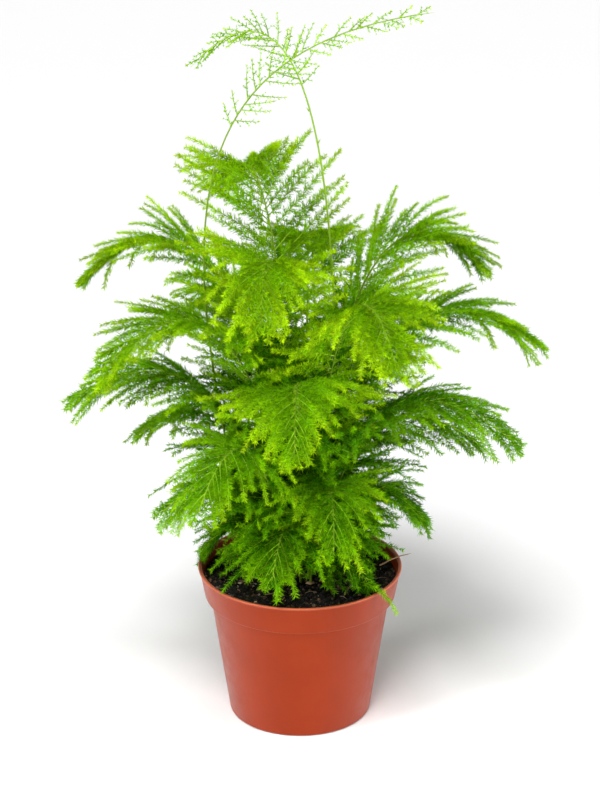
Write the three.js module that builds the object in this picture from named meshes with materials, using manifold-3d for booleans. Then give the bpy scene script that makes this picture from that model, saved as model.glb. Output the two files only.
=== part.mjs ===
// A potted asparagus fern: a plastic grower's pot, its soil, and the fronds that rise from it.
// Millimetres, +Z up. The origin is the centre of the pot's underside, and the front is -Y.
import * as THREE from 'three';
import { mergeVertices } from 'three/addons/utils/BufferGeometryUtils.js';
import Module from 'manifold-3d';

const wasm = await Module();
wasm.setup();

// Driving sizes of the pot
const POT_HEIGHT = 92;
const RIM_RADIUS = 60;
const BASE_RADIUS = 42;
const BODY_TOP_RADIUS = 53;
const BAND_HEIGHT = 18;
const BAND_FOOT_RADIUS = 56.2;
const BAND_TOP_RADIUS = 59.2;
const LIP_HEIGHT = 1.6;
const WALL = 1.2;
const FLOOR = 1.6;
const POT_SIDES = 32;
const DRAIN_HOLES = 8;
const DRAIN_RADIUS = 4;
const DRAIN_CIRCLE = 31;

// Driving sizes of the soil, and the play between pieces that touch
const PLAY = 0.35;
const SOIL_TOP = 86;
const SOIL_EDGE_DROP = 1.4;
const SOIL_RIM_GAP = 1.6;
const SOIL_RINGS = 6;
const SOIL_BUMP = 0.42;

// Driving sizes of the plant: its fronds run from the lowest and shortest to the highest and longest
const FROND_COUNT = 26;
const LOWEST = { rise: 30, reach: 32, drop: 26, bare: 0.16, half: 26, droop: 0.38, branches: 6, needle: 7 };
const HIGHEST = { rise: 228, reach: 98, drop: 30, bare: 0.34, half: 84, droop: 0.2, branches: 7, needle: 9 };
const SHOOT = { bare: 0.62, half: 18, droop: 0.05, branches: 8, needle: 4.5, steps: 12, roll: 65 };
const RISE_EASE = 1.1;
const HALF_EASE = 0.6;
const BELLY = { reach: 52, shift: 1.4, ease: 1.3 };
const ARCH = { low: { out: 0.1, up: 0.8 }, high: { out: 0.45, up: 1.18 } };
const VARIES = { heading: 6, rise: 0.03, reach: 0.06, drop: 0.2, curl: 18, roll: 10, half: 0.08 };
const GOLDEN_ANGLE = -137.508;
const FIRST_HEADING = -52;
const CROWN_RADIUS = 21;
const SHOOT_RADIUS = 27;

// The two tall young shoots: where each stands, and the points that shape its curve
const SHOOTS = [
  { turn: 178, bend: [-66, 2, 280], over: [-84, 4, 402], tip: [72, -10, 423] },
  { turn: 40, bend: [26, 22, 262], over: [20, 24, 472], tip: [-60, 0, 392] },
];

// Driving sizes of stalks, branches and needles
const STALK_DEPTH = 12;
const COLLAR = 3;
const STALK_RADIUS = 1.15;
const STALK_TIP_RADIUS = 0.55;
const STALK_CORNERS = 4;
const STALK_STEPS = 8;
const SOCKET_RADIUS = 1.85;
const SOCKET_SIDES = 5;
const LAST_BRANCH_AT = 0.985;
const BRANCH_ANGLES = { first: 58, last: 28 };
const FAN = { root: 0.62, swell: 1.6, taper: 0.7 };
const BOW = { middle: 0.5, end: 0.88, onward: 0.14 };
const BRANCH_RADIUS = 0.8;
const BRANCH_PITCH = 15;
const SHORTEST_BRANCH = 7;
const NEEDLE_LEAN = 42;
const UPPER_NEEDLE = 0.55;
const GROWING_ROOM = 2.4;
const SHORTER = [1, 0.85, 0.7, 0.55, 0.4];

const radians = THREE.MathUtils.degToRad;
const mix = THREE.MathUtils.lerp;
const vec = (x, y, z) => new THREE.Vector3(x, y, z);
const UP = vec(0, 0, 1);

// Seeded random draws: draw() lies in 0 to 1, and draw.spread(a) in -a to a
function seeded(seed) {
  let state = seed >>> 0;
  const draw = () => {
    state = (Math.imul(state, 1664525) + 1013904223) >>> 0;
    return state / 4294967296;
  };
  draw.spread = (reach) => reach * (2 * draw() - 1);
  for (let i = 0; i < 3; i += 1) draw();
  return draw;
}

// Solids: a plain list of corners and faces, and the way to and from the boolean library
class Skin {
  constructor() {
    this.corners = [];
    this.faces = [];
  }

  corner(point) {
    return this.corners.push(point.clone()) - 1;
  }

  face(a, b, c) {
    this.faces.push(a, b, c);
  }

  solid() {
    const vertProperties = new Float32Array(this.corners.flatMap((p) => [p.x, p.y, p.z]));
    const triVerts = new Uint32Array(this.faces);
    return new wasm.Manifold(new wasm.Mesh({ numProp: 3, vertProperties, triVerts }));
  }
}

function solidOf(geometry) {
  const bare = new THREE.BufferGeometry();
  bare.setAttribute('position', geometry.attributes.position);
  bare.setIndex(geometry.index);
  const merged = mergeVertices(bare, 1e-4);
  const index = merged.index.array;
  const skin = new Skin();
  const position = merged.attributes.position;
  for (let i = 0; i < position.count; i += 1) skin.corner(vec(0, 0, 0).fromBufferAttribute(position, i));
  for (let i = 0; i < index.length; i += 3) {
    const [a, b, c] = [index[i], index[i + 1], index[i + 2]];
    if (a !== b && b !== c && c !== a) skin.face(a, b, c);
  }
  return skin.solid();
}

function meshOf(name, solid, material) {
  const { vertProperties, triVerts } = solid.getMesh();
  const geometry = new THREE.BufferGeometry();
  geometry.setAttribute('position', new THREE.BufferAttribute(vertProperties, 3));
  geometry.setIndex(new THREE.BufferAttribute(triVerts, 1));
  geometry.computeVertexNormals();
  const mesh = new THREE.Mesh(geometry, material);
  mesh.name = name;
  return mesh;
}

// A lathe about Z, whose profile lists [radius, height] from the axis round to the axis
function turned(profile, sides) {
  const lathe = new THREE.LatheGeometry(profile.map(([r, z]) => new THREE.Vector2(r, z)), sides);
  lathe.rotateX(Math.PI / 2);
  return lathe;
}

function prism(radius, height, sides, x, y, foot) {
  const geometry = new THREE.CylinderGeometry(radius, radius, height, sides);
  geometry.rotateX(Math.PI / 2);
  geometry.translate(x, y, foot + height / 2);
  return solidOf(geometry);
}

// Pot: the wall steps out under the rim band, inside as well as outside
const BAND_FOOT = POT_HEIGHT - BAND_HEIGHT;
const LIP_FOOT = POT_HEIGHT - LIP_HEIGHT;
const CORNER = 1.2;

function potSolid() {
  const wall = turned([
    [0, 0],
    [BASE_RADIUS - CORNER, 0],
    [BASE_RADIUS, CORNER],
    [BODY_TOP_RADIUS, BAND_FOOT],
    [BAND_FOOT_RADIUS, BAND_FOOT],
    [BAND_TOP_RADIUS, LIP_FOOT],
    [RIM_RADIUS, LIP_FOOT + 0.4],
    [RIM_RADIUS, POT_HEIGHT - 0.4],
    [RIM_RADIUS - 0.4, POT_HEIGHT],
    [BAND_TOP_RADIUS - WALL, POT_HEIGHT],
    [BAND_FOOT_RADIUS - WALL, BAND_FOOT + WALL],
    [BODY_TOP_RADIUS - WALL, BAND_FOOT],
    [BASE_RADIUS - WALL, FLOOR + CORNER],
    [BASE_RADIUS - WALL - CORNER, FLOOR],
    [0, FLOOR],
  ], POT_SIDES);
  let pot = solidOf(wall);
  for (let i = 0; i < DRAIN_HOLES; i += 1) {
    const turn = radians((360 * (i + 0.5)) / DRAIN_HOLES);
    const x = DRAIN_CIRCLE * Math.cos(turn);
    const y = DRAIN_CIRCLE * Math.sin(turn);
    pot = pot.subtract(prism(DRAIN_RADIUS, 3 * FLOOR, 12, x, y, -FLOOR));
  }
  return pot;
}

// Soil: it fills the pot, and its top is uneven and a little higher in the middle
function soilHeight(x, y) {
  const out = (x * x + y * y) / (RIM_RADIUS * RIM_RADIUS);
  const waves = Math.sin(0.31 * x + 1.3) * Math.cos(0.27 * y) + 0.8 * Math.sin(0.83 * x - 0.61 * y);
  return SOIL_TOP - SOIL_EDGE_DROP * out + SOIL_BUMP * waves;
}

function soilSolid(stalks) {
  const edge = BAND_TOP_RADIUS - WALL - SOIL_RIM_GAP;
  const profile = [
    [0, FLOOR + PLAY],
    [BASE_RADIUS - WALL - CORNER - PLAY, FLOOR + PLAY],
    [BODY_TOP_RADIUS - WALL - PLAY, BAND_FOOT + PLAY],
    [BAND_FOOT_RADIUS - WALL - PLAY, BAND_FOOT + WALL + PLAY],
  ];
  for (let ring = 0; ring <= SOIL_RINGS; ring += 1) {
    profile.push([edge * (1 - ring / SOIL_RINGS), SOIL_TOP]);
  }
  const geometry = turned(profile, POT_SIDES);
  const position = geometry.attributes.position;
  for (let i = 0; i < position.count; i += 1) {
    if (position.getZ(i) > SOIL_TOP - 1) {
      position.setZ(i, soilHeight(position.getX(i), position.getY(i)));
    }
  }
  let soil = solidOf(geometry);
  const depth = STALK_DEPTH + PLAY;
  for (const { foot } of stalks) {
    soil = soil.subtract(
      prism(SOCKET_RADIUS, depth + COLLAR, SOCKET_SIDES, foot.x, foot.y, SOIL_TOP - depth),
    );
  }
  return soil;
}

// Stalks: each stands in a spiral crown, is upright in the soil, and arches along one curve
function towards(heading) {
  return vec(Math.cos(radians(heading)), Math.sin(radians(heading)), 0);
}

function crownPoint(heading, radius) {
  return towards(heading).multiplyScalar(radius).setZ(SOIL_TOP + COLLAR);
}

function frondStalk(i) {
  const draw = seeded(1000 + 77 * i);
  const level = i / (FROND_COUNT - 1);
  const habit = (key, power = 1) => mix(LOWEST[key], HIGHEST[key], level ** power);
  const place = FIRST_HEADING + GOLDEN_ANGLE * i;
  const foot = crownPoint(place, CROWN_RADIUS * Math.sqrt((FROND_COUNT - i - 0.5) / FROND_COUNT));
  const heading = place + draw.spread(VARIES.heading);
  const rise = habit('rise', RISE_EASE) * (1 + draw.spread(VARIES.rise));
  const belly = BELLY.reach * Math.sin(Math.PI * level ** BELLY.shift) ** BELLY.ease;
  const reach = (habit('reach') + belly) * (1 + draw.spread(VARIES.reach));
  const drop = habit('drop') * (1 + draw.spread(VARIES.drop));
  const curl = draw.spread(VARIES.curl);
  const out = towards(heading);
  const far = towards(heading + curl);
  const curve = new THREE.CubicBezierCurve3(
    foot,
    foot.clone().addScaledVector(out, ARCH.low.out * reach).addScaledVector(UP, ARCH.low.up * rise),
    foot.clone().addScaledVector(out, ARCH.high.out * reach).addScaledVector(UP, ARCH.high.up * rise),
    foot.clone().addScaledVector(far, reach).addScaledVector(UP, rise - drop),
  );
  return {
    name: `frond_${String(i + 1).padStart(2, '0')}`,
    foot,
    curve,
    sideways: vec(-out.y, out.x, 0),
    roll: draw.spread(VARIES.roll),
    bare: habit('bare'),
    half: habit('half', HALF_EASE) * (1 + draw.spread(VARIES.half)),
    droop: habit('droop'),
    branches: Math.round(habit('branches')),
    needle: habit('needle'),
    steps: STALK_STEPS,
  };
}

function shootStalk({ turn, bend, over, tip }, i) {
  const foot = crownPoint(turn, SHOOT_RADIUS);
  const end = vec(...tip);
  const away = end.clone().sub(foot).setZ(0).normalize();
  return {
    ...SHOOT,
    name: `shoot_${i + 1}`,
    foot,
    curve: new THREE.CubicBezierCurve3(foot, vec(...bend), vec(...over), end),
    sideways: vec(-away.y, away.x, 0),
  };
}

function frameAt(curve, t, sideways, roll) {
  const along = curve.getTangent(t);
  const side = sideways.clone().addScaledVector(along, -sideways.dot(along)).normalize();
  side.applyAxisAngle(along, radians(roll));
  return { point: curve.getPoint(t), along, side, up: along.clone().cross(side) };
}

function ringAround(skin, { point, side, up }, radius, count, phase) {
  const ring = [];
  for (let i = 0; i < count; i += 1) {
    const turn = phase + (2 * Math.PI * i) / count;
    const place = point.clone().addScaledVector(side, radius * Math.cos(turn));
    ring.push(skin.corner(place.addScaledVector(up, radius * Math.sin(turn))));
  }
  return ring;
}

function stalkSolid(stalk) {
  const skin = new Skin();
  const base = frameAt(stalk.curve, 0, stalk.sideways, 0);
  const level = { side: base.side, up: UP.clone().cross(base.side) };
  const phase = Math.PI / STALK_CORNERS;
  const buried = { ...level, point: stalk.foot.clone().setZ(SOIL_TOP - STALK_DEPTH) };
  const rings = [ringAround(skin, buried, STALK_RADIUS, STALK_CORNERS, phase)];
  for (let i = 0; i < stalk.steps; i += 1) {
    const t = i / stalk.steps;
    const frame = i ? frameAt(stalk.curve, t, stalk.sideways, stalk.roll) : { ...level, point: stalk.foot };
    rings.push(ringAround(skin, frame, mix(STALK_RADIUS, STALK_TIP_RADIUS, t), STALK_CORNERS, phase));
  }
  const tip = skin.corner(stalk.curve.getPoint(1));
  for (let i = 2; i < STALK_CORNERS; i += 1) skin.face(rings[0][0], rings[0][i], rings[0][i - 1]);
  for (let k = 0; k + 1 < rings.length; k += 1) {
    for (let i = 0; i < STALK_CORNERS; i += 1) {
      const next = (i + 1) % STALK_CORNERS;
      skin.face(rings[k][i], rings[k][next], rings[k + 1][next]);
      skin.face(rings[k][i], rings[k + 1][next], rings[k + 1][i]);
    }
  }
  const last = rings[rings.length - 1];
  for (let i = 0; i < STALK_CORNERS; i += 1) skin.face(last[i], last[(i + 1) % STALK_CORNERS], tip);
  return skin.solid();
}

// Branches: a slim three-sided core, and needles raised from every face of it
function onStalk(stalk, t) {
  const step = Math.min(Math.floor(t * stalk.steps), stalk.steps - 1);
  const start = stalk.curve.getPoint(step / stalk.steps);
  return start.lerp(stalk.curve.getPoint((step + 1) / stalk.steps), t * stalk.steps - step);
}

function branchCurve(stalk, k, scale) {
  const u = (k + 0.4) / stalk.branches;
  const t = mix(stalk.bare, LAST_BRANCH_AT, u);
  const frame = { ...frameAt(stalk.curve, t, stalk.sideways, stalk.roll), point: onStalk(stalk, t) };
  const spread = stalk.half * (1 - u) ** FAN.taper * Math.min(1, FAN.root + FAN.swell * u);
  const length = scale * (spread + SHORTEST_BRANCH);
  const angle = radians(mix(BRANCH_ANGLES.first, BRANCH_ANGLES.last, u));
  const hand = k % 2 ? 1 : -1;
  const away = frame.along.clone().multiplyScalar(Math.cos(angle));
  away.addScaledVector(frame.side, hand * Math.sin(angle));
  const middle = frame.point.clone().addScaledVector(away, BOW.middle * length);
  const end = frame.point.clone().addScaledVector(away, BOW.end * length);
  end.addScaledVector(frame.along, BOW.onward * length).addScaledVector(UP, -stalk.droop * length);
  return { curve: new THREE.QuadraticBezierCurve3(frame.point, middle, end), length, up: frame.up };
}

const FACE_TURNS = [radians(90), radians(210), radians(330)];

function needleTip(corners, frame, face, length) {
  const turn = FACE_TURNS[face];
  const out = frame.side.clone().multiplyScalar(Math.cos(turn)).addScaledVector(frame.up, Math.sin(turn));
  const middle = corners.reduce((sum, corner) => sum.add(corner), vec(0, 0, 0)).divideScalar(3);
  middle.addScaledVector(out, length * Math.cos(radians(NEEDLE_LEAN)));
  return middle.addScaledVector(frame.along, length * Math.sin(radians(NEEDLE_LEAN)));
}

// A face with a needle standing on it: three faces that meet at the needle's tip
function raise(skin, wires, a, b, c, frame, face, length) {
  const corners = [a, b, c].map((i) => skin.corners[i]);
  const apex = needleTip(corners, frame, face, length);
  const tip = skin.corner(apex);
  skin.face(a, b, tip);
  skin.face(b, c, tip);
  skin.face(c, a, tip);
  wires.push(new THREE.Line3(frame.point.clone(), apex));
}

function branchFrame(branch, t) {
  const along = branch.curve.getTangent(t);
  const side = branch.up.clone().cross(along).normalize();
  return { point: branch.curve.getPoint(t), along, side, up: along.clone().cross(side) };
}

function needledBranch(stalk, branch) {
  const skin = new Skin();
  const wires = [];
  const steps = THREE.MathUtils.clamp(Math.round(branch.length / BRANCH_PITCH), 2, 6);
  const lengths = [UPPER_NEEDLE, 1, 1].map((share) => share * stalk.needle);
  const rings = [];
  for (let j = 0; j < steps; j += 1) {
    const frame = branchFrame(branch, j / steps);
    const radius = BRANCH_RADIUS * (1 - (0.5 * j) / steps);
    rings.push(ringAround(skin, frame, radius, 3, radians(30)));
  }
  const tip = skin.corner(branch.curve.getPoint(1));
  skin.face(rings[0][0], rings[0][2], rings[0][1]);
  for (let j = 0; j < steps; j += 1) {
    const frame = branchFrame(branch, (j + 0.5) / steps);
    const taper = 1 - (0.45 * j) / steps;
    wires.push(new THREE.Line3(branch.curve.getPoint(j / steps), branch.curve.getPoint((j + 1) / steps)));
    for (let face = 0; face < 3; face += 1) {
      const next = (face + 1) % 3;
      const [a, b] = [rings[j][face], rings[j][next]];
      const length = taper * lengths[face];
      if (j + 1 === steps) {
        raise(skin, wires, a, b, tip, frame, face, length);
        continue;
      }
      const [c, d] = [rings[j + 1][next], rings[j + 1][face]];
      if (face > 0 || j % 2) raise(skin, wires, a, b, c, frame, face, length);
      else skin.face(a, b, c);
      if (face > 0) raise(skin, wires, a, c, d, frame, face, length);
      else skin.face(a, c, d);
    }
  }
  return { skin, wires };
}

// Room to grow: what would come too near another stalk, its branches, the pot or the soil is cut short
function boxAround(wires) {
  return new THREE.Box3().setFromPoints(wires.flatMap((wire) => [wire.start, wire.end]));
}

function stalkWires(stalk) {
  const wires = [new THREE.Line3(stalk.foot.clone().setZ(SOIL_TOP), stalk.foot.clone())];
  for (let i = 0; i < stalk.steps; i += 1) {
    wires.push(new THREE.Line3(
      stalk.curve.getPoint(i / stalk.steps),
      stalk.curve.getPoint((i + 1) / stalk.steps),
    ));
  }
  return wires;
}

function nearPotOrSoil(wire) {
  for (let share = 0; share <= 1; share += 0.25) {
    const point = wire.at(share, vec(0, 0, 0));
    const radius = Math.hypot(point.x, point.y);
    if (radius < RIM_RADIUS + GROWING_ROOM) {
      const overRim = radius > BAND_FOOT_RADIUS - WALL - GROWING_ROOM;
      const ground = overRim ? POT_HEIGHT : soilHeight(point.x, point.y);
      if (point.z < ground + GROWING_ROOM) return true;
    }
  }
  return false;
}

function crowded(wires, owner, grown) {
  const box = boxAround(wires).expandByScalar(GROWING_ROOM);
  return grown.some((other) => other.owner !== owner && other.box.intersectsBox(box)
    && other.wires.some((theirs) => wires.some(
      (wire) => wire.distanceSqToLine3(theirs) < GROWING_ROOM ** 2,
    )));
}

function growBranch(stalk, k, grown) {
  for (const scale of SHORTER) {
    const { skin, wires } = needledBranch(stalk, branchCurve(stalk, k, scale));
    if (!wires.some(nearPotOrSoil) && !crowded(wires, stalk, grown)) {
      grown.push({ owner: stalk, wires, box: boxAround(wires) });
      return skin.solid();
    }
  }
  return null;
}

function leafyStalk(stalk, grown) {
  let solid = stalkSolid(stalk);
  for (let k = 0; k < stalk.branches; k += 1) {
    const branch = growBranch(stalk, k, grown);
    if (branch) solid = solid.add(branch);
  }
  return solid;
}

// Materials, one for each kind of piece
const terracotta = () => new THREE.MeshStandardMaterial({ color: 0xb85a38, roughness: 0.55, metalness: 0 });
const earth = () => new THREE.MeshStandardMaterial({ color: 0x2b1d15, roughness: 0.95, metalness: 0 });
const foliage = () => new THREE.MeshStandardMaterial({ color: 0x76b51a, roughness: 0.6, metalness: 0 });
const youngGrowth = () => new THREE.MeshStandardMaterial({ color: 0xb4d63a, roughness: 0.6, metalness: 0 });

// The whole plant
const fronds = Array.from({ length: FROND_COUNT }, (_, i) => frondStalk(i));
const shoots = SHOOTS.map(shootStalk);
const stalks = [...fronds, ...shoots];
const grown = stalks.map((stalk) => {
  const wires = stalkWires(stalk);
  return { owner: stalk, wires, box: boxAround(wires) };
});

const plant = new THREE.Group();
plant.add(meshOf('pot', potSolid(), terracotta()));
plant.add(meshOf('soil', soilSolid(stalks), earth()));
for (const frond of fronds) plant.add(meshOf(frond.name, leafyStalk(frond, grown), foliage()));
for (const shoot of shoots) plant.add(meshOf(shoot.name, leafyStalk(shoot, grown), youngGrowth()));

export default plant;
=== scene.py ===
"""The looks of a potted asparagus fern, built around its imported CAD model.

Every frond follows the same stalk and branch curves as its CAD solid, and gets the fine
branchlets and hair-thin needles of the living plant. Sizes are in millimetres until a mesh
is made, and metres in Blender. The front of the plant is -Y.
"""

import math

import bmesh
import bpy
import numpy as np
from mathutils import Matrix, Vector


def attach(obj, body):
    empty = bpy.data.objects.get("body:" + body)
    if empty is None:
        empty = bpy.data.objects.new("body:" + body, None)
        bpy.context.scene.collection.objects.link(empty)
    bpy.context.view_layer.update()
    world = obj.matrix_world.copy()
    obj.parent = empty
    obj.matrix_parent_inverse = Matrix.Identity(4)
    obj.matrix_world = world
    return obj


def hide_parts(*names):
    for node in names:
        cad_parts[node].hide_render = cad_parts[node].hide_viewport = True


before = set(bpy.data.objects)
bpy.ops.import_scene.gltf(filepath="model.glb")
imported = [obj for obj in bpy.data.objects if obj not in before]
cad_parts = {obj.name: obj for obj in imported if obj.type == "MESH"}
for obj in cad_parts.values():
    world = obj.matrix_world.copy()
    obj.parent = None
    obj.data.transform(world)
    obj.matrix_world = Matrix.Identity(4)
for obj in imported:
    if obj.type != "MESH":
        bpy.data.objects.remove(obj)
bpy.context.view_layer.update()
BODY = "root"
MM = 0.001
UP = np.array([0.0, 0.0, 1.0])

# The pot and the soil, as in the part's source
POT_HEIGHT = 92
RIM_RADIUS = 60
BASE_RADIUS = 42
BODY_TOP_RADIUS = 53
BAND_HEIGHT = 18
BAND_FOOT_RADIUS = 56.2
BAND_TOP_RADIUS = 59.2
LIP_HEIGHT = 1.6
WALL = 1.2
FLOOR = 1.6
POT_SIDES = 160
POT_ROUNDING = 0.9
SHARP_EDGE = 35
DRAIN_HOLES = 8
DRAIN_RADIUS = 4
DRAIN_CIRCLE = 31
# How far down from the top of the lip its painted highlight reaches
LIP_PAINTED_HIGHLIGHT = 1.4
SOIL_TOP = 86
SOIL_EDGE_DROP = 1.4
SOIL_BUMP = 0.42

# The loose top of the soil, which the CAD solid leaves out
SOIL_EDGE = 57
SOIL_INMOST = 0.0006
SOIL_PLAY = 0.4
SOIL_GRAIN = 0.42
SOIL_LUMPS = 0.9
LOOSE_REACH = 56
CRUMB_COUNT = 2600
CRUMB_TONES = 0.88
GRIT_FROM = 0.975
GRIT_TONE = 0.97
FIBRE_COUNT = 46
FIBRE_REACH = 54

# The plant's habit, as in the part's source
FROND_COUNT = 26
LOWEST = dict(rise=30, reach=32, drop=26, bare=0.16, half=26, droop=0.38, branches=6, needle=7)
HIGHEST = dict(rise=228, reach=98, drop=30, bare=0.34, half=84, droop=0.2, branches=7, needle=9)
SHOOT = dict(bare=0.62, half=18, droop=0.05, branches=8, needle=4.5, roll=65, level=1)
RISE_EASE = 1.1
HALF_EASE = 0.6
BELLY = dict(reach=52, shift=1.4, ease=1.3)
ARCH_LOW = dict(out=0.1, up=0.8)
ARCH_HIGH = dict(out=0.45, up=1.18)
VARIES = dict(heading=6, rise=0.03, reach=0.06, drop=0.2, curl=18, roll=10, half=0.08)
GOLDEN_ANGLE = -137.508
FIRST_HEADING = -52
CROWN_RADIUS = 21
SHOOT_RADIUS = 27
SHOOTS = (
    dict(turn=178, bend=(-66, 2, 280), over=(-84, 4, 402), tip=(72, -10, 423)),
    dict(turn=40, bend=(26, 22, 262), over=(20, 24, 472), tip=(-60, 0, 392)),
)
STALK_DEPTH = 12
COLLAR = 3
STALK_RADIUS = 0.75
STALK_TIP_RADIUS = 0.3
STALK_RINGS = 44
BRACTS_AT = (0.08, 0.97, 0.055)
BRACT_LENGTH = 3.0
BRACT_RADIUS = 0.6
FIRST_BRANCH = 0.4
LAST_BRANCH_AT = 0.985
FIRST_BRANCH_ANGLE = 58
LAST_BRANCH_ANGLE = 28
SHORTEST_BRANCH = 7
FAN = dict(root=0.62, swell=1.6, taper=0.7)
BOW = dict(middle=0.5, end=0.88, onward=0.14)

# Fine growth, which the CAD solids leave out
GROWN = dict(
    pairs=3,
    inner=32,
    trailing=3,
    twig_pitch=7,
    twig_reach=0.7,
    brush=dict(pitch=1.4, each=5, length=4.8, lean=(0.7, 1.15), taper=0),
    twig=dict(pitch=1.5, each=4, length=3.0, lean=(0.6, 1.05), taper=0.5),
)
SPROUTING = dict(
    pairs=1,
    inner=0,
    trailing=0,
    twig_pitch=9,
    twig_reach=0.9,
    brush=dict(pitch=2.4, each=3, length=1.7, lean=(0.6, 1.1), taper=0),
    twig=dict(pitch=2.0, each=3, length=1.4, lean=(0.6, 1.1), taper=0.4),
)
RIM_STRAND = dict(
    frond="frond_01",
    age_and_light=0.5,
    length=34,
    knots=((26, -34, 97), (45, -45, 101), (53, -50, 82)),
)
BRANCH_RADIUS = 0.45
BRANCH_TIP_RADIUS = 0.12
TWIG_RADIUS = 0.2
BRUSH_STEP = 7
FLATNESS = 0.62
NEEDLE_WIDTH = 0.66
TRAILING_FROM = 0.15

# Ages of the growth, which pick its green in foliage_material, with painted light and painted shade
# mixed in
STALK_TONES = (0.02, 0.12)
BRANCH_TONE = 0.14
# Lower fronds darker, partly as older growth and partly as painted shade; upper fronds lighter as
# painted light
FROND_AGES_AND_LIGHT = (0.26, 0.6)
AGE_SPREAD = 0.18
AGE_SCATTER = 0.618
# Tone of the inner branches, a near-black green: painted shade
INNER_PAINTED_SHADE = 0.2
TRAILING_AGE = 0.12
YOUNG_BRIGHTNESS = 1.15

# The photograph's camera
CAMERA_PLACE = (-0.0788, -1.3273, 0.7236)
CAMERA_AIM = (0.0, 0.0, 0.196)
LENS = 112

# Light: white walls that dim to the sky, a soft sun, and a panel on each side
WALLS_TO_SKY = {"From Min": 0.17, "From Max": 0.24, "To Min": 1.0, "To Max": 0.24}
SUN = dict(power=3.2, angle=24, tilt=(32, 0, -18))
PANEL = dict(out=1.1, front=0.6, height=0.22, power=14, size=(0.3, 0.42))
PANEL_AIM = (0, 0, 0.1)


def mix(a, b, t):
    return a + (b - a) * t


def unit(v):
    return v / np.linalg.norm(v, axis=-1, keepdims=True)


class Seeded:
    """The same draws as in the part's source."""

    def __init__(self, seed):
        self.state = seed
        for _ in range(3):
            self.draw()

    def draw(self):
        self.state = (self.state * 1664525 + 1013904223) % 4294967296
        return self.state / 4294967296

    def spread(self, reach):
        return reach * (2 * self.draw() - 1)


# Meshes made from plain arrays
class Growth:
    """Collects points, triangles and tones, and becomes one mesh."""

    def __init__(self):
        self.points = []
        self.faces = []
        self.tones = []
        self.count = 0

    def add(self, points, faces, tones):
        """points (n, 3) in millimetres, faces (m, 3) and tones (n, 2) in 0 to 1."""
        self.points.append(points)
        self.faces.append(faces + self.count)
        self.tones.append(tones)
        self.count += len(points)

    def spikes(self, foot, way, length, radius, tone_foot, tone_tip, shade):
        """Three-sided spikes with open feet, which are sunk in what they grow from."""
        n = len(foot)
        helper = np.where(np.abs(way[:, 2:3]) > 0.9, [[1.0, 0.0, 0.0]], [[0.0, 0.0, 1.0]])
        side = unit(np.cross(way, helper))
        top = np.cross(way, side)
        points = np.empty((n, 4, 3))
        for i in range(3):
            turn = 2 * math.pi * i / 3
            points[:, i] = foot + radius[:, None] * (side * math.cos(turn) + top * math.sin(turn))
        points[:, 3] = foot + way * length[:, None]
        corner = 4 * np.arange(n)[:, None]
        faces = np.concatenate([corner + [0, 1, 3], corner + [1, 2, 3], corner + [2, 0, 3]])
        tones = np.empty((n, 4, 2))
        tones[:, :3, 0] = tone_foot[:, None]
        tones[:, 3, 0] = tone_tip
        tones[:, :, 1] = shade[:, None] + [0.0, 0.012, 0.024, 0.012]
        self.add(points.reshape(-1, 3), faces, tones.reshape(-1, 2))

    def blades(self, foot, way, side, length, tone_foot, tone_tip, shade, folded):
        """Needles as slim pointed blades: two faces along a fold, or one flat face."""
        n = len(foot)
        fold = np.cross(way, side)
        half = 0.5 * NEEDLE_WIDTH
        points = np.empty((n, 4, 3))
        points[:, 0] = foot - side * half
        points[:, 1] = foot + fold * half + way * (0.3 * length)[:, None]
        points[:, 2] = foot + side * half
        points[:, 3] = foot + way * length[:, None]
        corner = 4 * np.arange(n)[:, None]
        faces = corner + [0, 2, 3]
        if folded:
            faces = np.concatenate([corner + [0, 1, 3], corner + [1, 2, 3]])
        tones = np.empty((n, 4, 2))
        tones[:, :3, 0] = tone_foot[:, None]
        tones[:, 3, 0] = tone_tip
        tones[:, :, 1] = shade[:, None] + [0.0, 0.012, 0.024, 0.012]
        self.add(points.reshape(-1, 3), faces, tones.reshape(-1, 2))

    def tube(self, centres, side, top, radii, corners, tone, shade):
        """A tube through rings of corners that ends in a point."""
        rings = len(centres)
        turns = 2 * math.pi * np.arange(corners) / corners
        across, upward = np.cos(turns)[None, :, None], np.sin(turns)[None, :, None]
        around = across * side[:, None] + upward * top[:, None]
        points = (centres[:, None] + radii[:, None, None] * around).reshape(-1, 3)
        i, k = np.meshgrid(np.arange(corners), np.arange(rings - 1))
        a, b = k * corners + i, k * corners + (i + 1) % corners
        quads = np.stack([a, b, b + corners, a + corners], -1).reshape(-1, 4)
        faces = np.concatenate([quads[:, [0, 1, 2]], quads[:, [0, 2, 3]]])
        tones = np.empty((rings, corners, 2))
        tones[..., 0] = tone[:, None]
        tones[..., 1] = shade + 0.02 * np.arange(corners)[None, :] / corners
        self.add(points, faces, tones.reshape(-1, 2))

    def mesh(self, name, material):
        points = np.concatenate(self.points) * MM
        faces = np.concatenate(self.faces)
        tones = np.concatenate(self.tones).clip(0.005, 0.995)
        mesh = bpy.data.meshes.new(name)
        mesh.vertices.add(len(points))
        mesh.vertices.foreach_set("co", points.astype(np.float32).ravel())
        mesh.loops.add(faces.size)
        mesh.loops.foreach_set("vertex_index", faces.astype(np.int32).ravel())
        mesh.polygons.add(len(faces))
        mesh.polygons.foreach_set("loop_start", np.arange(0, faces.size, 3, dtype=np.int32))
        mesh.polygons.foreach_set("loop_total", np.full(len(faces), 3, dtype=np.int32))
        for layer in ("tone", "OFBake"):
            uv = mesh.uv_layers.new(name=layer)
            uv.uv.foreach_set("vector", tones[faces.ravel()].astype(np.float32).ravel())
        mesh.uv_layers["tone"].active_render = True
        mesh.update()
        mesh.validate()
        mesh.materials.append(material)
        piece = bpy.data.objects.new(name, mesh)
        bpy.context.collection.objects.link(piece)
        return piece


def place(piece, slot, *nodes):
    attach(piece, BODY)
    if nodes:
        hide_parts(*nodes)


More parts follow.
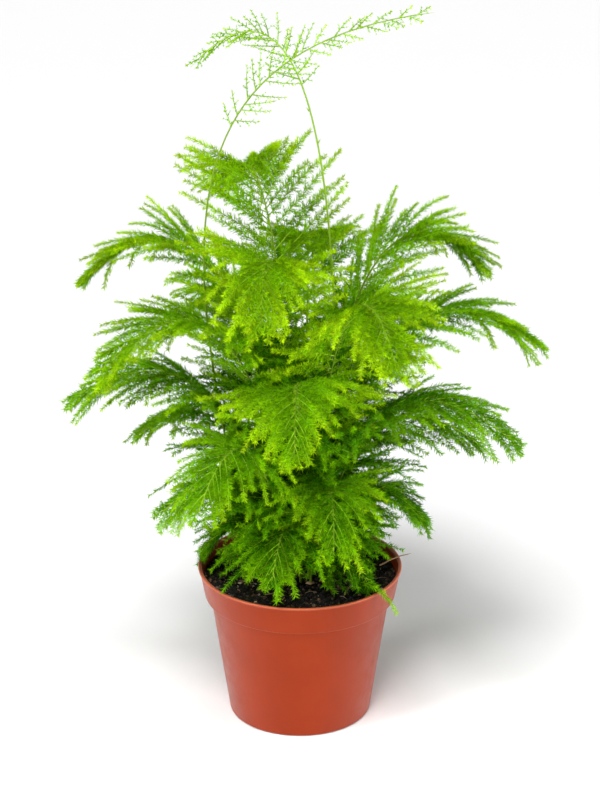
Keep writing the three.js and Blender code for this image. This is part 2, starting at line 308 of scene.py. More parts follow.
# Stalks: the same curves as in the part's source
def towards(heading):
    turn = math.radians(heading)
    return np.array([math.cos(turn), math.sin(turn), 0.0])


def crown_point(heading, radius):
    return towards(heading) * radius + UP * (SOIL_TOP + COLLAR)


def frond_stalk(i):
    draws = Seeded(1000 + 77 * i)
    level = i / (FROND_COUNT - 1)

    def habit(key, power=1.0):
        return mix(LOWEST[key], HIGHEST[key], level**power)

    turn = FIRST_HEADING + GOLDEN_ANGLE * i
    foot = crown_point(turn, CROWN_RADIUS * math.sqrt((FROND_COUNT - i - 0.5) / FROND_COUNT))
    heading = turn + draws.spread(VARIES["heading"])
    rise = habit("rise", RISE_EASE) * (1 + draws.spread(VARIES["rise"]))
    belly = BELLY["reach"] * max(0, math.sin(math.pi * level ** BELLY["shift"])) ** BELLY["ease"]
    reach = (habit("reach") + belly) * (1 + draws.spread(VARIES["reach"]))
    drop = habit("drop") * (1 + draws.spread(VARIES["drop"]))
    curl = draws.spread(VARIES["curl"])
    out = towards(heading)
    far = towards(heading + curl)
    knots = [
        foot,
        foot + out * ARCH_LOW["out"] * reach + UP * ARCH_LOW["up"] * rise,
        foot + out * ARCH_HIGH["out"] * reach + UP * ARCH_HIGH["up"] * rise,
        foot + far * reach + UP * (rise - drop),
    ]
    return dict(
        name=f"frond_{i + 1:02d}",
        level=level,
        knots=np.array(knots),
        sideways=np.array([-out[1], out[0], 0.0]),
        roll=draws.spread(VARIES["roll"]),
        bare=habit("bare"),
        half=habit("half", HALF_EASE) * (1 + draws.spread(VARIES["half"])),
        droop=habit("droop"),
        branches=math.floor(habit("branches") + 0.5),
        needle=habit("needle"),
    )


def shoot_stalk(i, shoot):
    foot = crown_point(shoot["turn"], SHOOT_RADIUS)
    tip = np.array(shoot["tip"], float)
    away = unit((tip - foot) * [1, 1, 0])
    return dict(
        SHOOT,
        name=f"shoot_{i + 1}",
        knots=np.array([foot, shoot["bend"], shoot["over"], tip], float),
        sideways=np.array([-away[1], away[0], 0.0]),
    )


def stalk_frames(stalk, t):
    """Points and upright frames at shares t of a stalk's curve."""
    a, b, c, d = stalk["knots"]
    t = np.atleast_1d(t)[:, None]
    s = 1 - t
    points = s**3 * a + 3 * s * s * t * b + 3 * s * t * t * c + t**3 * d
    along = unit(s * s * (b - a) + 2 * s * t * (c - b) + t * t * (d - c))
    side = stalk["sideways"] - along * (along @ stalk["sideways"])[:, None]
    side = unit(side)
    roll = math.radians(stalk["roll"])
    side = side * math.cos(roll) + np.cross(along, side) * math.sin(roll)
    return points, along, side, np.cross(along, side)


def grow_stalk(growth, stalk, rng):
    """The wiry stem, upright in the soil, with a small dry bract at each of its nodes."""
    t = np.linspace(0, 1, STALK_RINGS)
    points, _, side, top = stalk_frames(stalk, t)
    points = np.vstack([points[:1] - UP * (STALK_DEPTH + COLLAR - 1), points])
    side, top = np.vstack([side[:1], side]), np.vstack([top[:1], top])
    t = np.concatenate([[0], t])
    radii = mix(STALK_RADIUS, STALK_TIP_RADIUS, t)
    radii[-1] = 0.02
    growth.tube(points, side, top, radii, 6, mix(*STALK_TONES, t), rng.uniform(0.2, 0.8))
    nodes = np.arange(*BRACTS_AT)
    points, along, side, top = stalk_frames(stalk, nodes)
    turn = 2.4 * np.arange(len(nodes))[:, None]
    out = side * np.cos(turn) + top * np.sin(turn)
    way = unit(along * 1.3 + out)
    each = np.ones(len(nodes))
    length, radius = BRACT_LENGTH * each, BRACT_RADIUS * each
    growth.spikes(points + out * 0.5, way, length, radius, 0.1 * each, 0.14 * each, 0.6 * each)


# Branches, branchlets and needles
def branch_knots(stalk, u, hand, rng):
    t = mix(stalk["bare"], LAST_BRANCH_AT, u)
    point, along, side, up = (x[0] for x in stalk_frames(stalk, t))
    spread = stalk["half"] * (1 - u) ** FAN["taper"] * min(1, FAN["root"] + FAN["swell"] * u)
    length = (spread + SHORTEST_BRANCH) * rng.uniform(0.74, 1.1)
    angle = math.radians(mix(FIRST_BRANCH_ANGLE, LAST_BRANCH_ANGLE, u) + rng.uniform(-8, 8))
    away = along * math.cos(angle) + side * hand * math.sin(angle)
    away = unit(away + up * rng.uniform(-0.16, 0.16))
    middle = point + away * BOW["middle"] * length
    end = point + away * BOW["end"] * length + along * BOW["onward"] * length
    end = end - UP * stalk["droop"] * length * rng.uniform(0.6, 1.5)
    return np.array([point, middle, end]), length, up


def branch_frames(knots, up, v):
    a, b, c = knots
    v = v[:, None]
    points = (1 - v) ** 2 * a + 2 * v * (1 - v) * b + v * v * c
    along = unit((1 - v) * (b - a) + v * (c - b))
    side = unit(np.cross(up, along))
    return points, along, side, np.cross(along, side)


def grow_needles(growth, kind, foot, way, top, length, size, age_and_light, rng, folded):
    """Clusters of needles along twigs that start at foot and point along way."""
    side = np.cross(way, top)
    clusters = np.maximum(1, np.round(length / kind["pitch"]).astype(int))
    owner = np.repeat(np.arange(len(foot)), clusters * kind["each"])
    first = np.repeat(np.cumsum(clusters) - clusters, clusters * kind["each"])
    order = np.arange(len(owner)) // kind["each"] - first
    share = (order + rng.uniform(0.25, 0.8, len(owner))) / clusters[owner]
    turn = np.arange(len(owner)) % kind["each"] * (2 * math.pi / kind["each"])
    turn = turn + rng.uniform(-0.6, 0.6, len(owner))
    lean = rng.uniform(*kind["lean"], len(owner))
    out = side[owner] * np.cos(turn)[:, None] + top[owner] * (FLATNESS * np.sin(turn))[:, None]
    needle_way = unit(way[owner] * np.cos(lean)[:, None] + out * np.sin(lean)[:, None])
    start = foot[owner] + way[owner] * (share * length[owner])[:, None]
    size = size[owner] * rng.uniform(0.7, 1.2, len(owner)) * (1 - kind["taper"] * share)
    tone = age_and_light[owner] + 0.1 * share
    shade = rng.uniform(0.2, 0.8, len(foot))[owner] + rng.uniform(-0.2, 0.17, len(owner))
    facing = top[owner] + rng.uniform(-0.8, 0.8, (len(owner), 3))
    across = unit(np.cross(needle_way, facing))
    growth.blades(start, needle_way, across, size, tone, tone + 0.08, shade, folded)


def inner_knots(stalk, rng):
    """A short branch low on a stalk, in the shade of the others, on any side of it."""
    t = stalk["bare"] * rng.uniform(0.3, 1.2)
    point, along, side, up = (x[0] for x in stalk_frames(stalk, t))
    turn, lean = rng.uniform(0, 2 * math.pi), math.radians(rng.uniform(45, 75))
    length = (0.4 + 0.35 * rng.random()) * stalk["half"] + SHORTEST_BRANCH
    out = side * math.cos(turn) + up * math.sin(turn)
    away = along * math.cos(lean) + out * math.sin(lean)
    end = point + away * length - UP * stalk["droop"] * length
    top = unit(np.cross(along, np.cross(away, along)))
    return np.array([point, point + away * 0.5 * length, end]), length, unit(along + 0.3 * top)


def trailing_knots(stalk, rng):
    """A strand that hangs from the outer half of a frond's arch."""
    t = rng.uniform(0.55, 0.88)
    point, along, side, up = (x[0] for x in stalk_frames(stalk, t))
    length = rng.uniform(0.22, 0.45) * stalk["half"] + SHORTEST_BRANCH
    away = unit(along + side * rng.uniform(-1, 1))
    end = point + away * 0.7 * length - UP * 0.6 * length
    return np.array([point, point + away * 0.5 * length, end]), length, up


def grow_brush(growth, habit, knots, length, up, age_and_light, rng, folded):
    """Needles on the branch itself, out to its tip."""
    steps = max(3, round(length / BRUSH_STEP))
    v = np.linspace(0.06, 0.985, steps + 1)
    points, _, _, top = branch_frames(knots, up, v)
    step = points[1:] - points[:-1]
    v = v[:-1]
    size = habit["brush"]["length"] * np.minimum(1, 0.6 + 2 * v) * (1 - 0.55 * v**2)
    ages_and_light = age_and_light + 0.34 * v**1.6
    far = np.linalg.norm(step, axis=1)
    grow_needles(growth, habit["brush"], points[:-1], unit(step), top[:-1], far, size, ages_and_light, rng, folded)


def grow_twigs(growth, habit, stalk, knots, length, up, age_and_light, rng, folded):
    """Side twigs on both sides of a branch, with needles of their own."""
    count = max(3, round(length / habit["twig_pitch"]))
    j = np.arange(2 * count)
    v = (j + 0.6 + rng.uniform(-0.35, 0.35, len(j))) / (2 * count)
    points, along, side, top = branch_frames(knots, up, v)
    lean = np.radians(mix(56, 34, v)) + rng.uniform(-0.14, 0.14, len(j))
    hands = np.where(j % 2, 1.0, -1.0)
    way = along * np.cos(lean)[:, None] + side * (hands * np.sin(lean))[:, None]
    way = unit(way + top * rng.uniform(-0.22, 0.12, len(j))[:, None])
    profile = np.minimum(1, 0.45 + 2.4 * v) * (1 - v) ** 0.85
    length = habit["twig_reach"] * stalk["needle"] * (profile + 0.12) * rng.uniform(0.55, 1.35, len(j))
    ages_and_light = age_and_light + 0.3 * v**1.6
    radius = np.full(len(j), TWIG_RADIUS)
    growth.spikes(points, way, length, radius, ages_and_light, ages_and_light + 0.1, rng.uniform(0, 0.97, len(j)))
    size = np.full(len(j), habit["twig"]["length"])
    grow_needles(growth, habit["twig"], points, way, top, length, size, ages_and_light, rng, False)


def grow_branch(growth, habit, stalk, knots, length, up, age_and_light, rng, folded=True):
    v = np.linspace(0, 1, 8)
    points, _, side, top = branch_frames(knots, up, v)
    radii = mix(BRANCH_RADIUS, BRANCH_TIP_RADIUS, v)
    tone = np.full(len(v), BRANCH_TONE)
    growth.tube(points, side, top, radii, 3, tone, rng.uniform(0.2, 0.8))
    grow_brush(growth, habit, knots, length, up, age_and_light, rng, folded)
    grow_twigs(growth, habit, stalk, knots, length, up, age_and_light, rng, folded)


def branch_places(pairs, finer):
    """Staggered pairs of branches, which take in each single branch of the part's source."""
    single = FIRST_BRANCH * finer % 1
    for m in range(pairs):
        lead = 1 if m // finer % 2 else -1
        yield (m + single) / pairs, lead
        yield (m + (single + 0.5) % 1) / pairs, -lead


def grow_frond(stalk, seed, material, slot, habit):
    rng = np.random.default_rng(seed)
    growth = Growth()
    grow_stalk(growth, stalk, rng)
    finer = habit["pairs"] + round(stalk["level"])
    # Painted light and shade go in with how old the growth is: higher fronds lighter, lower ones darker
    frond_age_and_light = mix(*FROND_AGES_AND_LIGHT, stalk["level"]) + AGE_SPREAD * (AGE_SCATTER * seed % 1 - 0.5)
    for u, hand in branch_places(finer * stalk["branches"], finer):
        knots, length, up = branch_knots(stalk, u, hand, rng)
        age_and_light = frond_age_and_light + rng.uniform(-0.08, 0.08)
        grow_branch(growth, habit, stalk, knots, length, up, age_and_light, rng)
    for _ in range(habit["inner"]):
        knots, length, up = inner_knots(stalk, rng)
        # Painted shade: the inner branches take the near-black green of the tone ramp
        age_and_light = INNER_PAINTED_SHADE + 0.08 * rng.random()
        grow_branch(growth, habit, stalk, knots, length, up, age_and_light, rng, False)
    for _ in range(habit["trailing"] if stalk["level"] > TRAILING_FROM else 0):
        knots, length, up = trailing_knots(stalk, rng)
        grow_branch(growth, habit, stalk, knots, length, up, frond_age_and_light + TRAILING_AGE, rng)
    if stalk["name"] == RIM_STRAND["frond"]:
        knots = np.array(RIM_STRAND["knots"], float)
        length, age_and_light = RIM_STRAND["length"], RIM_STRAND["age_and_light"]
        grow_branch(growth, habit, stalk, knots, length, UP, age_and_light, rng)
    place(growth.mesh(f"{stalk['name']}_fine", material), slot, stalk["name"])


# Materials
def new_material(name):
    material = bpy.data.materials.new(name)
    material.use_nodes = True
    tree = material.node_tree
    return material, tree, tree.nodes["Principled BSDF"]


def node(tree, kind, **settings):
    made = tree.nodes.new(kind)
    for key, value in settings.items():
        setattr(made, key, value)
    return made


def ramp(tree, factor, *stops):
    made = node(tree, "ShaderNodeValToRGB")
    elements = made.color_ramp.elements
    while len(elements) < len(stops):
        elements.new(0.5)
    for element, (position, colour) in zip(elements, stops):
        element.position = position
        element.color = (*colour, 1)
    tree.links.new(factor, made.inputs["Fac"])
    return made.outputs["Color"]


def foliage_material(name, brightness=1.0):
    """Living green: the tone map's first number is how old the growth is, with painted light and painted
    shade mixed in, and the second its shade, which differs at random.
    """
    material, tree, shader = new_material(name)
    tone = node(tree, "ShaderNodeUVMap", uv_map="tone")
    parts = node(tree, "ShaderNodeSeparateXYZ")
    tree.links.new(tone.outputs["UV"], parts.inputs["Vector"])
    ages_and_light = ramp(
        tree,
        parts.outputs["X"],
        (0.0, (0.14, 0.2, 0.02)),
        (0.08, (0.25, 0.42, 0.03)),
        (0.14, (0.38, 0.64, 0.03)),
        # near-black green: painted shade, used by the inner branches
        (0.2, (0.012, 0.085, 0.001)),
        (0.45, (0.09, 0.34, 0.001)),
        (0.72, (0.27, 0.58, 0.001)),
        (1.0, (0.56, 0.82, 0.006)),
    )
    shades = ramp(
        tree,
        parts.outputs["Y"],
        (0.0, (0.5 * brightness,) * 3),
        (1.0, (1.3 * brightness,) * 3),
    )
    colour = node(tree, "ShaderNodeMix", data_type="RGBA", blend_type="MULTIPLY")
    colour.inputs["Factor"].default_value = 1.0
    tree.links.new(ages_and_light, colour.inputs["A"])
    tree.links.new(shades, colour.inputs["B"])
    through = node(tree, "ShaderNodeBsdfTranslucent")
    blend = node(tree, "ShaderNodeMixShader")
    blend.inputs["Fac"].default_value = 0.4
    tree.links.new(colour.outputs["Result"], shader.inputs["Base Color"])
    tree.links.new(colour.outputs["Result"], through.inputs["Color"])
    tree.links.new(shader.outputs["BSDF"], blend.inputs[1])
    tree.links.new(through.outputs["BSDF"], blend.inputs[2])
    tree.links.new(blend.outputs["Shader"], tree.nodes["Material Output"].inputs["Surface"])
    shader.inputs["Roughness"].default_value = 0.55
    shader.inputs["Specular IOR Level"].default_value = 0.25
    shader.inputs["Specular Tint"].default_value = (0.6, 1, 0.1, 1)
    return material


def noise(tree, scale, detail=4.0, roughness=0.55):
    coordinates = node(tree, "ShaderNodeTexCoord")
    made = node(tree, "ShaderNodeTexNoise")
    made.inputs["Scale"].default_value = scale
    made.inputs["Detail"].default_value = detail
    made.inputs["Roughness"].default_value = roughness
    tree.links.new(coordinates.outputs["Object"], made.inputs["Vector"])
    return made.outputs["Fac"]


def bump(tree, shader, height, strength, distance):
    made = node(tree, "ShaderNodeBump")
    made.inputs["Strength"].default_value = strength
    made.inputs["Distance"].default_value = distance
    tree.links.new(height, made.inputs["Height"])
    tree.links.new(made.outputs["Normal"], shader.inputs["Normal"])


def pot_material():
    """Terracotta-coloured moulded plastic: a satin skin, faint marks, and a painted highlight that makes
    the top of the lip paler.
    """
    material, tree, shader = new_material("pot_plastic_look")
    colour = ramp(
        tree,
        noise(tree, 26, 5),
        (0.3, (0.19, 0.018, 0.0012)),
        (0.7, (0.23, 0.023, 0.002)),
    )
    coordinates = node(tree, "ShaderNodeTexCoord")
    height = node(tree, "ShaderNodeSeparateXYZ")
    # Painted highlight: the top of the lip is painted paler, as if lit from above
    lip_highlight_reach = node(tree, "ShaderNodeMapRange")
    lip_highlight_reach.inputs["From Min"].default_value = (POT_HEIGHT - LIP_PAINTED_HIGHLIGHT) * MM
    lip_highlight_reach.inputs["From Max"].default_value = POT_HEIGHT * MM
    lip_highlight = node(tree, "ShaderNodeMix", data_type="RGBA")
    lip_highlight.inputs["B"].default_value = (0.46, 0.11, 0.05, 1)
    tree.links.new(coordinates.outputs["Object"], height.inputs["Vector"])
    tree.links.new(height.outputs["Z"], lip_highlight_reach.inputs["Value"])
    tree.links.new(lip_highlight_reach.outputs["Result"], lip_highlight.inputs["Factor"])
    tree.links.new(colour, lip_highlight.inputs["A"])
    tree.links.new(lip_highlight.outputs["Result"], shader.inputs["Base Color"])
    scuffs = ramp(tree, noise(tree, 90, 6, 0.7), (0.35, (0.3, 0.3, 0.3)), (0.75, (0.46, 0.46, 0.46)))
    tree.links.new(scuffs, shader.inputs["Roughness"])
    shader.inputs["Specular IOR Level"].default_value = 0.5
    shader.inputs["Specular Tint"].default_value = (1, 0.3, 0.22, 1)
    bump(tree, shader, noise(tree, 900, 3), 0.12, 0.0002)
    return material


def soil_material():
    material, tree, shader = new_material("soil_look")
    colour = ramp(
        tree,
        noise(tree, 420, 8, 0.7),
        (0.3, (0.002, 0.0015, 0.001)),
        (0.55, (0.008, 0.005, 0.003)),
        (0.8, (0.045, 0.026, 0.014)),
    )
    tree.links.new(colour, shader.inputs["Base Color"])
    shader.inputs["Roughness"].default_value = 0.9
    bump(tree, shader, noise(tree, 700, 8, 0.7), 0.8, 0.001)
    return material


def crumb_material():
    """Dark crumbs, with a few pale ones: the tone map's first number picks the colour."""
    material, tree, shader = new_material("crumb_look")
    tone = node(tree, "ShaderNodeUVMap", uv_map="tone")
    parts = node(tree, "ShaderNodeSeparateXYZ")
    tree.links.new(tone.outputs["UV"], parts.inputs["Vector"])
    colour = ramp(
        tree,
        parts.outputs["X"],
        (0.0, (0.002, 0.0015, 0.001)),
        (0.5, (0.011, 0.007, 0.004)),
        (0.82, (0.13, 0.07, 0.034)),
        (0.95, (0.34, 0.2, 0.1)),
        (1.0, (0.5, 0.42, 0.32)),
    )
    tree.links.new(colour, shader.inputs["Base Color"])
    shader.inputs["Roughness"].default_value = 0.85
    return material


# Pot: the CAD profile with its edges rounded, turned finely
def rounded(profile, radius, steps=4):
    """The profile with each inner corner replaced by a short arc-like curve."""
    made = [profile[0]]
    for before, here, after in zip(profile, profile[1:], profile[2:]):
        before, here, after = (np.array(p, float) for p in (before, here, after))
        near = min(radius, 0.45 * np.linalg.norm(here - before), 0.45 * np.linalg.norm(after - here))
        start = here + unit(before - here) * near
        end = here + unit(after - here) * near
        for s in np.linspace(0, 1, steps):
            made.append(tuple((1 - s) ** 2 * start + 2 * s * (1 - s) * here + s * s * end))
    return made + [profile[-1]]


def turned(name, profile, sides):
    """A closed surface of revolution from a profile that starts and ends on the axis."""
    rings = profile[1:-1]
    turns = 2 * math.pi * np.arange(sides) / sides
    points = [(0, 0, profile[0][1] * MM)]
    for radius, height in rings:
        for turn in turns:
            points.append((radius * math.cos(turn) * MM, radius * math.sin(turn) * MM, height * MM))
    points.append((0, 0, profile[-1][1] * MM))
    faces = [(0, 1 + (i + 1) % sides, 1 + i) for i in range(sides)]
    for k in range(len(rings) - 1):
        low, high = 1 + k * sides, 1 + (k + 1) * sides
        for i in range(sides):
            j = (i + 1) % sides
            faces.append((low + i, low + j, high + j, high + i))
    last = 1 + (len(rings) - 1) * sides
    faces += [(last + i, last + (i + 1) % sides, len(points) - 1) for i in range(sides)]
    mesh = bpy.data.meshes.new(name)
    mesh.from_pydata(points, [], faces)
    mesh.update()
    piece = bpy.data.objects.new(name, mesh)
    bpy.context.collection.objects.link(piece)
    return piece


def make_pot(material):
    band_foot = POT_HEIGHT - BAND_HEIGHT
    lip_foot = POT_HEIGHT - LIP_HEIGHT
    profile = [
        (0, 0),
        (BASE_RADIUS, 0),
        (BODY_TOP_RADIUS, band_foot),
        (BAND_FOOT_RADIUS, band_foot),
        (BAND_TOP_RADIUS, lip_foot),
        (RIM_RADIUS, lip_foot + 0.4),
        (RIM_RADIUS, POT_HEIGHT),
        (BAND_TOP_RADIUS - WALL, POT_HEIGHT),
        (BAND_FOOT_RADIUS - WALL, band_foot + WALL),
        (BODY_TOP_RADIUS - WALL, band_foot),
        (BASE_RADIUS - WALL, FLOOR),
        (0, FLOOR),
    ]
    pot = turned("grower_pot", rounded(profile, POT_ROUNDING), POT_SIDES)
    for i in range(DRAIN_HOLES):
        turn = math.radians(360 * (i + 0.5) / DRAIN_HOLES)
        centre = (DRAIN_CIRCLE * math.cos(turn) * MM, DRAIN_CIRCLE * math.sin(turn) * MM, 0)
        bpy.ops.mesh.primitive_cylinder_add(
            vertices=32, radius=DRAIN_RADIUS * MM, depth=4 * FLOOR * MM, location=centre
        )
        drill = bpy.context.object
        cut = pot.modifiers.new("hole", "BOOLEAN")
        cut.operation = "DIFFERENCE"
        cut.object = drill
        bpy.context.view_layer.objects.active = pot
        bpy.ops.object.modifier_apply(modifier=cut.name)
        bpy.data.objects.remove(drill)
    pot.data.materials.clear()
    pot.data.materials.append(material)
    pot.data.shade_smooth()
    pot.data.set_sharp_from_angle(angle=math.radians(SHARP_EDGE))
    place(pot, "pot_plastic", "pot")


# Soil: a crumbly bed, and loose crumbs and fibres on it
def soil_height(x, y):
    out = (x * x + y * y) / RIM_RADIUS**2
    waves = np.sin(0.31 * x + 1.3) * np.cos(0.27 * y) + 0.8 * np.sin(0.83 * x - 0.61 * y)
    return SOIL_TOP - SOIL_EDGE_DROP * out + SOIL_BUMP * waves


def make_soil(material):
    rng = np.random.default_rng(11)
    rings, sides = 64, 180
    radius = SOIL_EDGE * np.sqrt(np.linspace(1, SOIL_INMOST, rings))[:, None]
    turn = 2 * math.pi * np.arange(sides) / sides
    x, y = radius * np.cos(turn), radius * np.sin(turn)
    z = soil_height(x, y) + rng.normal(0, SOIL_GRAIN, x.shape)
    z += SOIL_LUMPS * np.clip(rng.normal(0, 1, x.shape) - 1.5, 0, 2)
    z[0] = np.minimum(z[0], soil_height(x[0], y[0]))
    wall = [
        (BASE_RADIUS - WALL - 1.5, FLOOR + SOIL_PLAY),
        (BODY_TOP_RADIUS - WALL - 0.6, POT_HEIGHT - BAND_HEIGHT + 0.5),
    ]
    points = []
    for wall_radius, height in wall:
        points += [(wall_radius * math.cos(a), wall_radius * math.sin(a), height) for a in turn]
    points += list(zip(x.ravel(), y.ravel(), z.ravel()))
    points += [(0, 0, FLOOR + SOIL_PLAY), (0, 0, soil_height(0, 0))]
    faces = []
    for k in range(rings + 1):
        low, high = k * sides, (k + 1) * sides
        for i in range(sides):
            j = (i + 1) % sides
            faces.append((low + i, low + j, high + j, high + i))
    bottom, middle = len(points) - 2, len(points) - 1
    last = (rings + 1) * sides
    faces += [(bottom, (i + 1) % sides, i) for i in range(sides)]
    faces += [(last + i, last + (i + 1) % sides, middle) for i in range(sides)]
    mesh = bpy.data.meshes.new("soil_bed")
    mesh.from_pydata([tuple(c * MM for c in p) for p in points], [], faces)
    mesh.update()
    mesh.materials.append(material)
    piece = bpy.data.objects.new("soil_bed", mesh)
    bpy.context.collection.objects.link(piece)
    place(piece, "soil", "soil")


CRUMB_SHAPE = np.array(
    [[1, 0, 0], [-1, 0, 0], [0, 1, 0], [0, -1, 0], [0, 0, 1], [0, 0, -1],
     [0.7, 0.7, 0.5], [-0.7, 0.6, 0.55], [-0.6, -0.7, 0.5], [0.65, -0.7, 0.55]]
)


def crumb_hull():
    """Corners and triangles of one angular crumb."""
    hull = bmesh.new()
    for corner in CRUMB_SHAPE:
        hull.verts.new(corner)
    bmesh.ops.convex_hull(hull, input=hull.verts)
    bmesh.ops.triangulate(hull, faces=hull.faces)
    hull.verts.index_update()
    corners = np.array([v.co[:] for v in hull.verts])
    faces = np.array([[v.index for v in f.verts] for f in hull.faces])
    hull.free()
    return corners, faces


def tumbled(corners, about_z, about_x):
    """Corners turned about Z and then about X, by angles in radians."""
    c, s = math.cos(about_z), math.sin(about_z)
    corners = corners @ np.array([[c, -s, 0], [s, c, 0], [0, 0, 1]])
    c, s = math.cos(about_x), math.sin(about_x)
    return corners @ np.array([[1, 0, 0], [0, c, -s], [0, s, c]])


def make_crumbs(material, corners, faces):
    """Small angular crumbs of soil all over the bed."""
    rng = np.random.default_rng(23)
    growth = Growth()
    radius = LOOSE_REACH * np.sqrt(rng.uniform(0, 1, CRUMB_COUNT))
    turn = rng.uniform(0, 2 * math.pi, CRUMB_COUNT)
    size = 0.45 + 0.95 * rng.random(CRUMB_COUNT) ** 3
    for i in range(CRUMB_COUNT):
        about_z, about_x, _ = rng.uniform(0, 2 * math.pi, 3)
        stretch = rng.uniform(0.6, 1.3, 3) * size[i]
        local = corners * stretch * rng.uniform(0.8, 1.2, corners.shape)
        local = tumbled(local, about_z, about_x)
        x, y = radius[i] * math.cos(turn[i]), radius[i] * math.sin(turn[i])
        local += [x, y, soil_height(x, y) + 0.35 * size[i]]
        share = rng.random()
        tone = GRIT_TONE if share > GRIT_FROM else CRUMB_TONES * share
        tones = np.column_stack([np.full(len(local), tone), rng.uniform(0.3, 0.6, len(local))])
        growth.add(local, faces, tones)
    place(growth.mesh("soil_crumbs", material), "soil")


def make_fibres(material):
    """Short pale roots and straw in the soil."""
    rng = np.random.default_rng(31)
    growth = Growth()
    for _ in range(FIBRE_COUNT):
        radius, turn = FIBRE_REACH * math.sqrt(rng.random()), rng.uniform(0, 2 * math.pi)
        x, y = radius * math.cos(turn), radius * math.sin(turn)
        heading = rng.uniform(0, 2 * math.pi)
        length = rng.uniform(2.5, 9)
        s = np.linspace(0, 1, 6)
        bend = rng.uniform(-0.35, 0.35) * length
        px = x + length * s * math.cos(heading) - bend * s * (1 - s) * math.sin(heading)
        py = y + length * s * math.sin(heading) + bend * s * (1 - s) * math.cos(heading)
        if np.hypot(px, py).max() >= LOOSE_REACH:
            continue
        pz = soil_height(px, py) + 0.9 + 0.8 * s * (1 - s) + rng.uniform(-0.2, 0.4)
        centres = np.column_stack([px, py, pz])
        along = unit(np.gradient(centres, axis=0))
        side = unit(np.cross(along, UP))
        radii = np.full(6, rng.uniform(0.12, 0.3))
        radii[-1] = 0.03
        tone = np.full(6, rng.uniform(0.88, 0.99))
        growth.tube(centres, side, np.cross(side, along), radii, 5, tone, 0.4)
    place(growth.mesh("soil_fibres", material), "soil")


DEBRIS = (
    dict(at=(5, -16), size=(2.6, 1.7, 1.4), tone=0.955),
    dict(at=(12, -13), size=(1.8, 1.2, 0.9), tone=0.93),
    dict(at=(-36, -12), size=(1.3, 1.1, 0.9), tone=0.995),
    dict(at=(-27, -14), size=(1.1, 0.8, 0.7), tone=0.99),
    dict(at=(28, 1), size=(1.2, 1.0, 0.8), tone=0.99),
    dict(at=(-49.5, -30.5), size=(1.5, 1.2, 1.0), tone=0.6, height=POT_HEIGHT + 0.5),
    dict(at=(-41.5, -41), size=(1.2, 1.6, 0.9), tone=0.5, height=POT_HEIGHT + 0.4),
)
STRAWS = (
    dict(start=(24, -33, 87), end=(31, -27, 94), radius=0.45, tone=0.94),
    dict(start=(47, -2, 90.6), end=(66, 1, 96.5), radius=0.5, tone=0.9),
    dict(start=(34, -20, 87.5), end=(46, -14, 88), radius=0.35, tone=0.88),
    dict(start=(-22, -30, 87), end=(-12, -34, 87.6), radius=0.35, tone=0.9),
)


def make_debris(material, corners, faces):
    """The larger bits: bark and grit on the soil, crumbs on the rim, and a few dry twigs."""
    rng = np.random.default_rng(41)
    growth = Growth()
    for bit in DEBRIS:
        x, y = bit["at"]
        height = bit.get("height", soil_height(x, y) + 0.7)
        local = corners * bit["size"] * rng.uniform(0.8, 1.2, corners.shape) + [x, y, height]
        growth.add(local, faces, np.tile([bit["tone"], 0.5], (len(local), 1)))
    for straw in STRAWS:
        s = np.linspace(0, 1, 8)[:, None]
        start, end = np.array(straw["start"], float), np.array(straw["end"], float)
        centres = mix(start, end, s) + UP * 1.2 * np.sin(math.pi * s)
        centres += rng.uniform(-0.15, 0.15, (8, 3))
        along = unit(np.gradient(centres, axis=0))
        side = unit(np.cross(along, UP))
        radii = mix(straw["radius"], 0.5 * straw["radius"], s[:, 0])
        radii[-1] = 0.05
        growth.tube(centres, side, np.cross(side, along), radii, 6, np.full(8, straw["tone"]), 0.5)
    place(growth.mesh("soil_debris", material), "soil")


# Studio: a pale floor, soft light from above and both sides, and the photograph's camera
def make_floor():
    bpy.ops.mesh.primitive_plane_add(size=30, location=(0, 0, -0.0004))
    floor = bpy.context.object
    floor.name = "studio_floor"
    material, _, shader = new_material("floor_look")
    shader.inputs["Base Color"].default_value = (0.86, 0.86, 0.86, 1)
    shader.inputs["Roughness"].default_value = 0.9
    shader.inputs["Specular IOR Level"].default_value = 0.1
    floor.data.materials.append(material)


def facing(spot, aim):
    """The rotation of a lamp or camera at spot that looks at aim."""
    return (Vector(aim) - Vector(spot)).to_track_quat("-Z", "Y").to_euler()


def make_panel(name, x):
    light = bpy.data.lights.new(name, "AREA")
    light.shape = "RECTANGLE"
    light.size, light.size_y = PANEL["size"]
    light.energy = PANEL["power"]
    lamp = bpy.data.objects.new(name, light)
    lamp.location = (x, -PANEL["front"], PANEL["height"])
    lamp.rotation_euler = facing((x, -PANEL["front"], PANEL["height"]), PANEL_AIM)
    bpy.context.collection.objects.link(lamp)


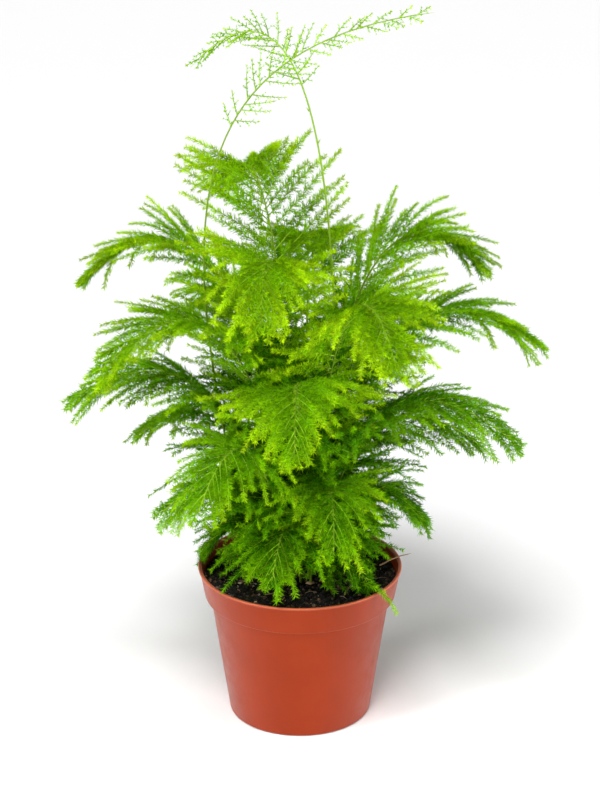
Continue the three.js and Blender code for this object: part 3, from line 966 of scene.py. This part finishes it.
def make_world():
    """Even white light from above, and white walls all round, up to a little over the horizon."""
    world = bpy.data.worlds.new("studio_world")
    bpy.context.scene.world = world
    world.use_nodes = True
    tree = world.node_tree
    background = tree.nodes["Background"]
    background.inputs["Color"].default_value = (1, 1, 1, 1)
    coordinates = node(tree, "ShaderNodeTexCoord")
    height = node(tree, "ShaderNodeSeparateXYZ")
    strength = node(tree, "ShaderNodeMapRange")
    for name, value in WALLS_TO_SKY.items():
        strength.inputs[name].default_value = value
    tree.links.new(coordinates.outputs["Generated"], height.inputs["Vector"])
    tree.links.new(height.outputs["Z"], strength.inputs["Value"])
    tree.links.new(strength.outputs["Result"], background.inputs["Strength"])


def make_studio():
    make_world()
    sun = bpy.data.lights.new("soft_sun", "SUN")
    sun.energy = SUN["power"]
    sun.angle = math.radians(SUN["angle"])
    high = bpy.data.objects.new("soft_sun", sun)
    high.rotation_euler = [math.radians(tilt) for tilt in SUN["tilt"]]
    bpy.context.collection.objects.link(high)
    make_panel("left_light", -PANEL["out"])
    make_panel("right_light", PANEL["out"])
    make_floor()
    camera = bpy.data.cameras.new("camera")
    camera.lens = LENS
    camera.sensor_width = 36
    camera.clip_start, camera.clip_end = 0.05, 60
    eye = bpy.data.objects.new("camera", camera)
    eye.location = CAMERA_PLACE
    eye.rotation_euler = facing(CAMERA_PLACE, CAMERA_AIM)
    bpy.context.collection.objects.link(eye)
    bpy.context.scene.camera = eye
    bpy.context.scene.view_settings.view_transform = "Standard"


# The whole plant
leafy = foliage_material("foliage_look")
young = foliage_material("young_foliage_look", YOUNG_BRIGHTNESS)
for index in range(FROND_COUNT):
    grow_frond(frond_stalk(index), 500 + index, leafy, "foliage", GROWN)
for index, shoot in enumerate(SHOOTS):
    grow_frond(shoot_stalk(index, shoot), 700 + index, young, "young_foliage", SPROUTING)
make_pot(pot_material())
make_soil(soil_material())
crumbs = crumb_material()
crumb_corners, crumb_faces = crumb_hull()
make_crumbs(crumbs, crumb_corners, crumb_faces)
make_debris(crumbs, crumb_corners, crumb_faces)
make_fibres(crumbs)
make_studio()
